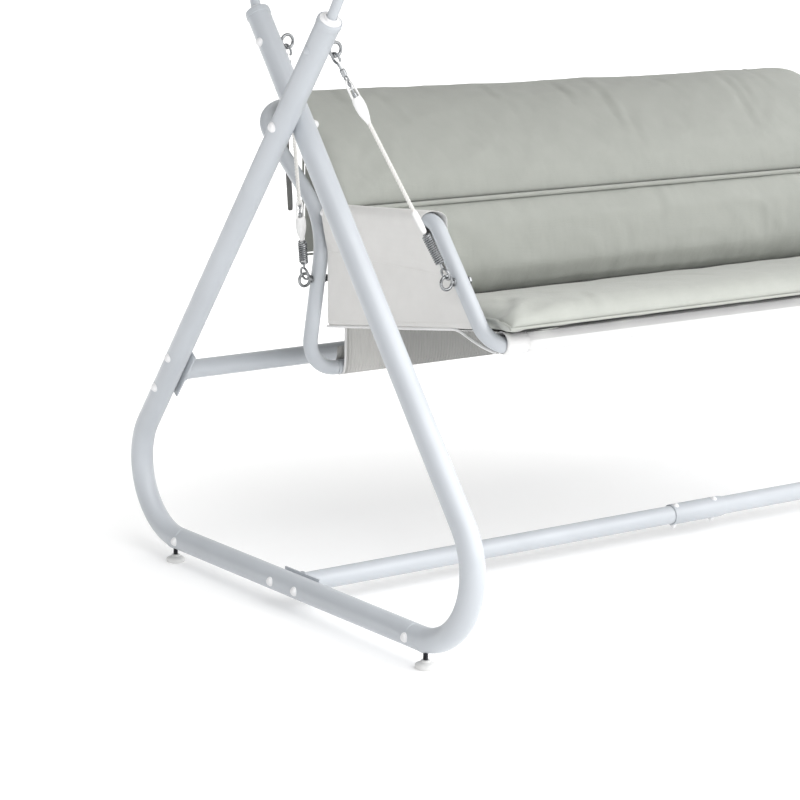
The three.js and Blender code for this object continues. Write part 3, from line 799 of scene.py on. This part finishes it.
def panel(word, side):
    rear, front_low, seam_z = Vector((PANEL_REAR_Y + 4, 413)), Vector((-196, 464)), 540.0
    sleeve, columns = SEAT_R + 1.8, 34

    def bottom_z(y):
        return rear.y + (rear.x - y) / (rear.x - front_low.x) * (front_low.y - rear.y)

    def outer_limit(z):
        """Where the outer layer ends towards the front, just behind the riser."""
        return min(riser_y(z) + 13.0 + 17.0 * max(0.0, 1 - abs((z - 568) / 62)) ** 0.7, -86.0)

    def inner_limit(z):
        return riser_y(min(z, 612)) - 6.0

    def climbed(z):
        return max(0.0, min(1.0, (z - seam_z) / (ARM_Z - seam_z)))

    def bulge(z):
        """How far the doubled cloth stands off the panel's middle plane."""
        return 1.0 + (sleeve - 1.0) * climbed(z) ** 0.8

    def row_at(height, offset, front, lower=None):
        """Points from rear to front; lower is the share of the way from the bottom edge to the seam."""
        points = []
        for k in range(columns + 1):
            y = PANEL_REAR_Y + (front - PANEL_REAR_Y) * k / columns
            z = height + (arm_z(y) - ARM_Z) * climbed(height)
            if lower is not None:
                z = bottom_z(y) + (seam_z - bottom_z(y)) * lower
            wave = 1.3 * noise.noise(Vector((y * 0.012, z * 0.016, 3.1 * side)))
            points.append((side * (SEAT_X + offset + wave), y, z))
        return points

    # Up the outer side, round the arm, then down the inner side to the seam.
    rows = [row_at(0, 1.0, outer_limit(464 + (seam_z - 464) * share), share)
            for share in (0.0, 0.25, 0.5, 0.75)]
    heights = [seam_z + (ARM_Z - seam_z) * k / 7 for k in range(8)]
    rows += [row_at(z, bulge(z), outer_limit(z)) for z in heights]
    for angle in range(165, 0, -15):
        c, s = cos(radians(angle)), sin(radians(angle))
        front = outer_limit(ARM_Z) * ((1 - c) / 2) + inner_limit(ARM_Z) * ((1 + c) / 2)
        rows.append(row_at(ARM_Z + sleeve * s, -sleeve * c, front))
    rows += [row_at(z, -bulge(z) + (0.2 if z == seam_z else 0), inner_limit(z)) for z in heights[::-1]]
    obj = piece(f"{word}_panel", sheet_of(rows), "seat", CLOTH, [f"{word}_side_panel"],
                thickness=1.5, subdivide=1)
    # The seam that closes the sleeve, the hem along the lower edge and the strip that ties it forward.
    seam = [(side * (SEAT_X + 3.0), y, seam_z) for y in (PANEL_REAR_Y - 3, 60, -60, riser_y(seam_z) + 18)]
    hem = [(side * (SEAT_X + 2.6), y, bottom_z(y) + 9) for y in (PANEL_REAR_Y - 3, 60, -60, -186)]
    piece(f"{word}_panel_stitches", merged(stitch_line(seam), stitch_line(hem)), "seat", STITCH)
    edge = [(side * (SEAT_X + 1.0), y, bottom_z(y)) for y in (PANEL_REAR_Y, 60, -60, -160)]
    edge += [(side * (SEAT_X + off), y, z)
             for off, y, z in ((1, -182, 457), (1, -209, 449), (-6, -230, 440), (-17, -245, 433))]
    trim(f"{word}_panel_hem", sweep(smooth_line(edge, 40), 2.2, 10), "seat")


for word, side in SIDES:
    panel(word, side)


# ---------- cushions
def pad(front_line, back_line, half, columns, rows, cut=0.0, flare=0.0):
    """Front and back faces that meet in a seam all round, from [y, z] lines."""
    front = smooth_line([(0, *p) for p in front_line], rows)
    back = smooth_line([(0, *p) for p in back_line], rows)
    vertices, faces, index, seam = [], [], {}, []

    def key(face_number, i, k):
        """Both faces share the points of the sewn edge."""
        return (i, k) if i in (0, rows) or k in (0, columns) else (face_number, i, k)

    for face_number, line in enumerate((front, back)):
        for i in range(rows + 1):
            middle = (front[i] + back[i]) / 2
            reach = half + flare * max(0.0, min(1.0, (-246 - middle.y) / 22))
            if cut and i / rows > 0.84:
                reach = half - cut * (1 - sqrt(max(0.0, 1 - ((i / rows - 0.84) / 0.16) ** 2)))
            for k in range(columns + 1):
                u = -1 + 2 * k / columns
                edge = (1 - abs(u)) * half
                fullness = sqrt(max(0.0, 1 - (1 - min(edge / 30, 1)) ** 2))
                place = key(face_number, i, k)
                if place not in index:
                    index[place] = len(vertices)
                    point = middle.lerp(line[i], fullness)
                    vertices.append(Vector((u * reach, point.y, point.z)))
                    if len(place) == 2:
                        seam.append(index[place])

    for face_number in (0, 1):
        for i in range(rows):
            for k in range(columns):
                quad = tuple(index[key(face_number, a, b)]
                             for a, b in ((i, k), (i, k + 1), (i + 1, k + 1), (i + 1, k)))
                faces.append(quad if face_number == 0 else quad[::-1])
    back_side = {index[(1, i, k)] for i in range(1, rows) for k in range(1, columns)}
    loop = [(0, k) for k in range(columns)] + [(i, columns) for i in range(rows)]
    loop += [(rows, k) for k in range(columns, 0, -1)] + [(i, 0) for i in range(rows, 0, -1)]
    return (vertices, faces), seam, back_side, [index[place] for place in loop]


def inflate(shape, seam, back_side, pressure, cap, back_cap):
    """Fills a pad by cloth simulation, every point's travel capped."""
    vertices, faces = shape
    mesh = bpy.data.meshes.new("filling")
    mesh.from_pydata([v * MM for v in vertices], [], faces)
    work = bmesh.new()
    work.from_mesh(mesh)
    bmesh.ops.recalc_face_normals(work, faces=work.faces)
    work.to_mesh(mesh)
    work.free()
    obj = bpy.data.objects.new("filling", mesh)
    SCENE.collection.objects.link(obj)
    group = obj.vertex_groups.new(name="seam")
    group.add(seam, 1.0, "REPLACE")
    cloth = obj.modifiers.new("cloth", "CLOTH")
    for key, value in dict(quality=4, mass=0.25, tension_stiffness=12, compression_stiffness=12,
                           shear_stiffness=6, bending_stiffness=0.3, vertex_group_mass="seam",
                           use_pressure=True, uniform_pressure_force=pressure).items():
        setattr(cloth.settings, key, value)
    cloth.settings.effector_weights.gravity = 0
    cloth.collision_settings.use_collision = False
    cloth.point_cache.frame_start, cloth.point_cache.frame_end = 1, 20
    for number in range(1, 21):
        SCENE.frame_set(number)
    evaluated = obj.evaluated_get(bpy.context.evaluated_depsgraph_get())
    filled = [v.co / MM for v in evaluated.data.vertices]
    out = []
    for i, (rest, full) in enumerate(zip(vertices, filled)):
        travel = full - rest
        limit = back_cap if i in back_side else cap
        if travel.length > limit:
            travel *= limit / travel.length
        out.append(rest + travel)
    bpy.data.objects.remove(obj)
    SCENE.frame_set(1)
    return out, faces


def wrinkle(shape, seam, depth, across_scale, down_scale, slant, seed, creases=()):
    """Handling creases: drawn-out noise ridges, and single folds (x, start, stop, lean, depth)."""
    vertices, faces = shape
    fixed = set(seam)
    normals = [Vector((0, 0, 0)) for _ in vertices]
    for face in faces:
        a, b, c = (vertices[face[i]] for i in (0, 1, 2))
        normal = (b - a).cross(c - a)
        for i in face:
            normals[i] += normal
    out = []
    for i, point in enumerate(vertices):
        if i in fixed:
            out.append(point)
            continue
        run = point.y + point.z
        place = Vector((point.x * across_scale + run * slant, run * down_scale, seed))
        ridge = 1 - abs(noise.noise(place)) * 2.2
        fine = noise.noise(place * 2.7 + Vector((9.1, 4.2, 0)))
        lift = depth * (max(ridge, -0.4) ** 3 - 0.35) + depth * 0.35 * fine
        for x, start, stop, lean, fold in creases:
            if start < run < stop:
                off = (point.x - x - lean * (run - start)) / 9.0
                fade = sin(pi * (run - start) / (stop - start)) ** 0.6
                lift += fold * fade * (0.7 * exp(-(off - 1.5) ** 2) - exp(-off * off))
        out.append(point + normals[i].normalized() * lift)
    return out, faces


def cushion(name, front_line, back_line, half, rows, cap, wrinkles, seed, nodes=(), cut=0.0, pressure=4.0,
            columns=120, piped=True, flare=0.0, creases=(), sag=0.0):
    shape, seam, back_side, loop = pad(front_line, back_line, half, columns, rows, cut, flare)
    shape = inflate(shape, seam, back_side, pressure, cap, 1.5)
    shape = wrinkle(shape, seam, *wrinkles, seed, creases)
    if sag:
        top = max(p.z for p in shape[0])
        for p in shape[0]:
            share = max(0.0, 1 - (top - p.z) / 110)
            p.z -= share * (sag + 0.006 * p.x + 2.5 * noise.noise(Vector((p.x * 0.006, 0, seed))))
    loop_points = [shape[0][i] for i in loop]
    obj = piece(name, shape, "seat", CUSHION, nodes, crease=80, subdivide=1)
    if piped:
        piece(f"{name}_piping", sweep(loop_points, 2.1, 8, closed=True), "seat", PIPING)
    return obj


seat_folds = [(-470, 180, 300, 0.3, 2.4), (-130, 260, 420, -0.2, 2.2), (210, 200, 330, 0.25, 2.4),
              (450, 300, 430, -0.3, 2.4)]
cushion("seat_pad",
        [(-298, 479), (-304, 489), (-297, 501), (-272, 506), (-180, 500), (-60, 482), (40, 464), (112, 445),
         (146, 437), (166, 430)],
        [(-298, 479), (-286, 471), (-262, 466), (-180, 459), (-120, 452), (-30, 440), (60, 428), (120, 421),
         (150, 420), (166, 430)],
        615, 34, 5.0, (1.8, 0.009, 0.006, 0.004), 1.7, ["seat_cushion"], flare=14.0, creases=seat_folds)
lower_folds = [(-430, 640, 740, 0.1, 2.6), (60, 660, 770, 0.08, 3.0), (300, 620, 700, 0.05, 2.6),
               (330, 620, 690, 0.05, 2.4), (-20, 620, 680, 0.0, 2.2)]
cushion("back_pad_lower",
        [(162, 444), (136, 457), (128, 490), (131, 530), (141, 576), (152, 600), (169, 607)],
        [(162, 444), (190, 450), (195, 490), (188, 530), (180, 570), (177, 594), (169, 607)],
        613, 22, 6.0, (2.0, 0.010, 0.012, 0.006), 5.3, ["back_cushion"], creases=lower_folds, piped=False)
upper_folds = [(-190, 1030, 1150, 0.05, 3.4), (-178, 960, 1060, 0.1, 2.4), (-30, 1010, 1150, 0.12, 3.8),
               (34, 900, 1140, 0.12, 3.8), (60, 860, 980, 0.14, 2.8), (352, 880, 1150, 0.14, 4.0),
               (384, 960, 1130, 0.2, 3.2), (470, 1040, 1150, 0.1, 2.8), (-420, 980, 1120, -0.08, 2.6),
               (-520, 1040, 1150, 0.15, 2.8), (230, 1050, 1150, 0.05, 2.6)]
cushion("back_pad_upper",
        [(169, 608), (159, 616), (171, 646), (208, 690), (252, 727), (300, 758), (344, 780), (366, 786),
         (382, 783)],
        [(169, 608), (188, 632), (240, 671), (300, 717), (350, 756), (372, 771), (378, 776), (380, 779),
         (382, 783)],
        613, 28, 6.0, (2.2, 0.008, 0.007, -0.004), 8.9, cut=84, creases=upper_folds, sag=1.5, piped=False)
# A cord sewn into the seam fills the groove between the two back pads.
piece("back_seam_cord", sweep([(x, 160.5, 607.5) for x in range(-600, 601, 60)], 4.2, 12), "seat", CUSHION)
cushion("back_flap",
        [(386, 776), (404, 779), (420, 771), (427, 756), (429, 700), (430, 620), (430, 540),
         (429, FLAP_BOTTOM)],
        [(386, 776), (403, 773), (414, 767), (419, 756), (421, 700), (422, 620), (422, 540),
         (429, FLAP_BOTTOM)],
        FLAP_HALF, 24, 4.0, (1.6, 0.010, 0.008, 0.005), 12.4, pressure=2.0, columns=84)
# A near-black sheet under the seat pad stands for the shade in the gap below the pad's front edge.
base = sheet_of([[(x, y, z) for x in (-596, -300, 0, 300, 596)] for y, z in (
    (-290, 472.5), (-262, 465.0), (-180, 458.0), (-120, 451.0), (-30, 439.0), (60, 427.0), (120, 420.5))])
painted_shade_sheet = piece("seat_pad_base", base, "seat", DARK_SHADE_SHEET, thickness=1.0)

# A tie of dark webbing hangs from the back pad at each end.
for word, side in SIDES:
    line = smooth_line([(side * 544, 424, 768), (side * 544, 428, 700), (side * 541, 430, 650),
                        (side * 538, 429, 600), (side * 536, 430, 572)], 24)
    rows = []
    for k, point in enumerate(line):
        turn = 0.5 * sin(k * 0.25)
        wide = Vector((cos(turn), sin(turn), 0)) * 5.0
        rows.append([point - wide, point - wide * 0.33, point + wide * 0.33, point + wide])
    obj = piece(f"{word}_tie", sheet_of(rows), "seat", STRAP, thickness=1.2, subdivide=1)

# ---------- canopy
RIB_DROP = POLE_R + 1.0
RIB_END_Y = CANOPY_HALF_Y - 22
POLE_Y = {-1: -421.0, 1: 134.0}
for word, side in SIDES:
    ys = [-RIB_END_Y + 2 * RIB_END_Y * k / 24 for k in range(25)]
    rib = [(side * RIB_X, y, roof_z(y) - RIB_DROP) for y in ys]
    painted(f"{word}_rib", bevelled_tube(rib, POLE_R, sides=20), "stand", f"{word}_canopy_rib")
for name, side, end in CORNERS:
    pole_y = POLE_Y[end]
    top = Vector((leg_x(side, -end, LEG_TOP_Z), leg_y(-end, LEG_TOP_Z), LEG_TOP_Z))
    low = Vector((leg_x(side, -end, BASE_Z), leg_y(-end, BASE_Z), BASE_Z))
    axis = (top - low).normalized()
    z = roof_z(pole_y) - RIB_DROP - POLE_R - 7
    path = route([top - axis * 34, top + axis * 12, (side * RIB_X, pole_y, z)], [40], 4)
    painted(f"{name}_pole", bevelled_tube(path, POLE_R, sides=24), "stand", f"{name}_canopy_pole")
    # A moulded saddle joins the pole to its rib.
    run = (path[-1] - path[-2]).normalized()
    saddle = turned([(-POLE_R, -26), (1.6, -26), (2.6, -24), (3.0, -4), (2.2, 3), (-1.6, 8), (-POLE_R, 9)],
                    path[-1], run, 28, POLE_R)
    clasp = turned_ring([(0.3, -11), (2.6, -11), (3.0, -9), (3.0, 9), (2.6, 11), (0.3, 11), (0.3, -11)],
                        (side * RIB_X, pole_y, roof_z(pole_y) - RIB_DROP), (0, 1, 0), POLE_R, 28)
    white_part(f"{name}_saddle", merged(saddle, clasp), "stand")
for end_word, end in ENDS:
    y = end * (RIB_END_Y + POLE_R + 0.4)
    half, z = CANOPY_HALF_X - 6, roof_z(y) - RIB_DROP - 1
    bar = bevelled_tube([(x, y, z) for x in (-half, 0, half)], POLE_R, sides=20)
    painted(f"{end_word}_bar", bar, "stand", f"{end_word}_canopy_bar")


def canopy_cloth():
    """One cambered cloth: the roof and a valance folded down on all four sides."""
    half_x, half_y = CANOPY_HALF_X + ROOF_T * 0.5, CANOPY_HALF_Y + ROOF_T * 0.5
    base = EAVE_Z - VALANCE

    def stations(half, steps):
        """Places across the cloth, each with the share of the valance's height it has climbed."""
        drop = [k / 5 for k in range(5)]
        top = [(-half + 2 * half * k / steps, 1.0) for k in range(steps + 1)]
        return [(-half, share) for share in drop] + top + [(half, share) for share in drop[::-1]]

    rows = []
    for x, x_share in stations(half_x, 56):
        row = []
        for y, y_share in stations(half_y, 40):
            crown = roof_z(max(-CANOPY_HALF_Y, min(CANOPY_HALF_Y, y))) + ROOF_T * 0.5
            share = min(x_share, y_share)
            across_x, across_y = (x + half_x) / (2 * half_x), (y + half_y) / (2 * half_y)
            slack = 5.0 * sin(pi * across_x) * sin(pi * across_y)
            row.append((x, y, crown - slack if share == 1 else base + (crown - base) * share))
        rows.append(row)
    obj = piece("canopy_cloth", sheet_of(rows), "stand", CLOTH_ROOF, ["canopy_roof"], crease=50,
                thickness=1.4)


canopy_cloth()
